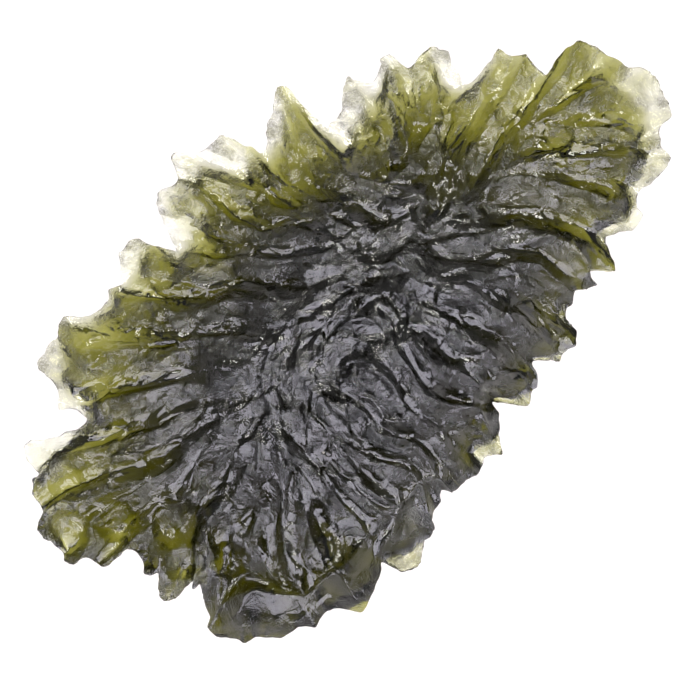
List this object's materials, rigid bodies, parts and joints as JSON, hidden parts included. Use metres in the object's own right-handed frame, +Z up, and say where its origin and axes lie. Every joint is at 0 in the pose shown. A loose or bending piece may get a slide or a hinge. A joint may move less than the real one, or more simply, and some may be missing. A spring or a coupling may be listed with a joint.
{
  "type": "moldavite",
  "caption": "Natural moldavite: a flat lens of olive-green glass with ridges that radiate to a jagged rim, lying on a small flat spot.",
  "frame": {"origin": "middle of the box over the stone's length and width, at the height of the flat spot it rests on", "axes": "+X along the stone's length towards its thin green end, +Y across it towards the side with the longest clear tips, +Z up out of the ridged top"},
  "size_m": [0.0356, 0.0218, 0.0079],
  "materials": {
    "moldavite_glass": "clear olive-green natural glass with an etched, glossy, finely pitted skin, nearly colourless at the thin rim and almost black where it is thick"
  },
  "bodies": {
    "root": {"moldavite": "moldavite_glass"}
  },
  "joints": []
}
